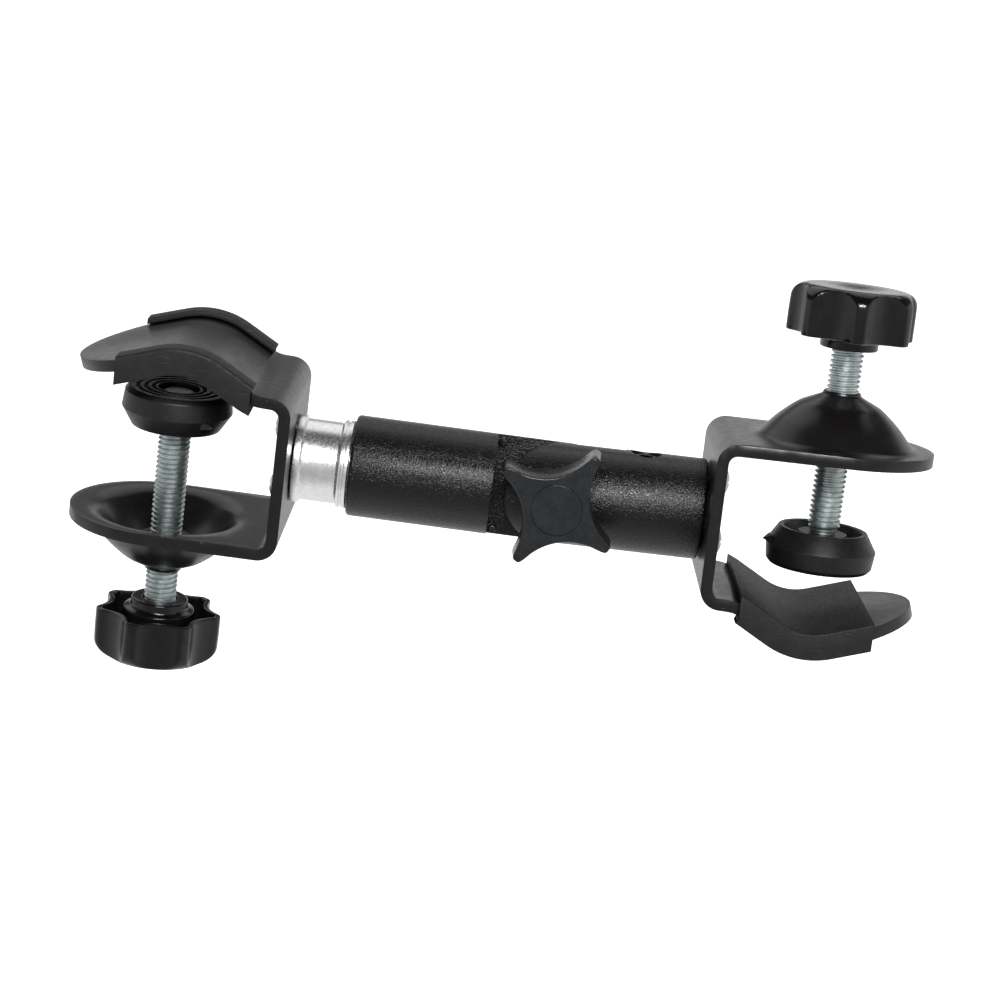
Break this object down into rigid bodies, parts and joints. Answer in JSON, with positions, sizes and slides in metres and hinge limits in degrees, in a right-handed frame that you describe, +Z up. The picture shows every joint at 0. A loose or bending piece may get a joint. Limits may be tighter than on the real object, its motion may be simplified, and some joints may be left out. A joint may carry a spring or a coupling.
{
  "type": "double-ended clamp arm",
  "caption": "Holder arm with a C-clamp at either end, each with a lobed-knob screw, tilting foot and V-shaped rubber jaw pad, joined by a swivelling neck and a knob-locked elbow.",
  "frame": {"origin": "centre of the bounding box, on the surface the arm stands on", "axes": "+X along the arm from the left clamp to the right one, which lies 10.5 degrees lower; +Y away from the elbow knob; +Z up"},
  "size_m": [0.2138, 0.0512, 0.0885],
  "materials": {
    "black_paint": "smooth semi-gloss black paint",
    "grained_paint": "fine-grained black powder coat",
    "pad_rubber": "matte dark grey",
    "glossy_plastic": "glossy black",
    "satin_plastic": "satin black",
    "bright_aluminium": "turned, satin",
    "zinc_steel": "zinc plated"
  },
  "bodies": {
    "middle": {"left_barrel": "grained_paint", "neck_grub_screw": "zinc_steel", "elbow_bolt": "zinc_steel"},
    "left_clamp": {"left_bracket": "black_paint", "left_jaw_pad": "pad_rubber", "left_threaded_bush": "black_paint", "left_web_screw_upper": "zinc_steel", "left_web_screw_lower": "zinc_steel", "neck_spool": "bright_aluminium"},
    "left_carriage": {"left_foot_washer": "zinc_steel"},
    "left_screw": {"left_clamp_screw": "zinc_steel", "left_clamp_knob": "glossy_plastic"},
    "left_foot": {"left_foot": "satin_plastic"},
    "right_arm": {"right_barrel": "grained_paint", "set_screw": "zinc_steel", "right_bracket": "black_paint", "right_jaw_pad": "pad_rubber", "right_threaded_bush": "black_paint", "right_web_screw_upper": "zinc_steel", "right_web_screw_lower": "zinc_steel"},
    "right_carriage": {"right_foot_washer": "zinc_steel"},
    "right_screw": {"right_clamp_screw": "zinc_steel", "right_clamp_knob": "glossy_plastic"},
    "right_foot": {"right_foot": "satin_plastic"},
    "elbow_carriage": {"elbow_washer": "zinc_steel"},
    "elbow_knob": {"elbow_knob": "satin_plastic", "elbow_nut": "zinc_steel", "elbow_knob_cap": "satin_plastic"}
  },
  "joints": [
    {"name": "elbow", "type": "hinge", "parent": "middle", "child": "right_arm", "pos_m": [0.01419, 0.00131, 0.03964], "axis": [0, 1, 0], "range_deg": [-87, 88]},
    {"name": "neck_swivel", "type": "hinge", "parent": "middle", "child": "left_clamp", "pos_m": [-0.03005, 0.00131, 0.04786], "axis": [0.9832, 0, -0.1827], "continuous": true},
    {"name": "elbow_knob_travel", "type": "slide", "parent": "middle", "child": "elbow_carriage", "axis": [0, -1, 0], "range_m": [0, 0.0015]},
    {"name": "elbow_knob_turn", "type": "hinge", "parent": "elbow_carriage", "child": "elbow_knob", "pos_m": [0.01419, -0.01669, 0.03964], "axis": [0, -1, 0], "range_deg": [0, 542]},
    {"name": "left_screw_travel", "type": "slide", "parent": "left_clamp", "child": "left_carriage", "axis": [0.1819, -0.0941, 0.9788], "range_m": [-0.02, 0.00337]},
    {"name": "left_screw_turn", "type": "hinge", "parent": "left_carriage", "child": "left_screw", "pos_m": [-0.07866, 0.00093, 0.06104], "axis": [0.1819, -0.0941, 0.9788], "range_deg": [-5765, 975]},
    {"name": "left_foot_tilt", "type": "hinge", "parent": "left_carriage", "child": "left_foot", "pos_m": [-0.07777, 0.00046, 0.06584], "axis": [-0.0172, -0.9956, -0.0925], "range_deg": [-3, 3]},
    {"name": "right_screw_travel", "type": "slide", "parent": "right_arm", "child": "right_carriage", "axis": [-0.1646, 0, -0.9864], "range_m": [-0.01625, 0.00637]},
    {"name": "right_screw_turn", "type": "hinge", "parent": "right_carriage", "child": "right_screw", "pos_m": [0.07947, 0.00131, 0.02742], "axis": [-0.1646, 0, -0.9864], "range_deg": [-4685, 1840]},
    {"name": "right_foot_tilt", "type": "hinge", "parent": "right_carriage", "child": "right_foot", "pos_m": [0.07866, 0.00131, 0.02259], "axis": [0, -1, 0], "range_deg": [-3, 3]}
  ],
  "couplings": [
    {"joint": "left_screw_turn", "follows": "left_screw_travel", "rad_per_m": 5026.5},
    {"joint": "right_screw_turn", "follows": "right_screw_travel", "rad_per_m": 5026.5},
    {"joint": "elbow_knob_turn", "follows": "elbow_knob_travel", "rad_per_m": 6283.2}
  ]
}
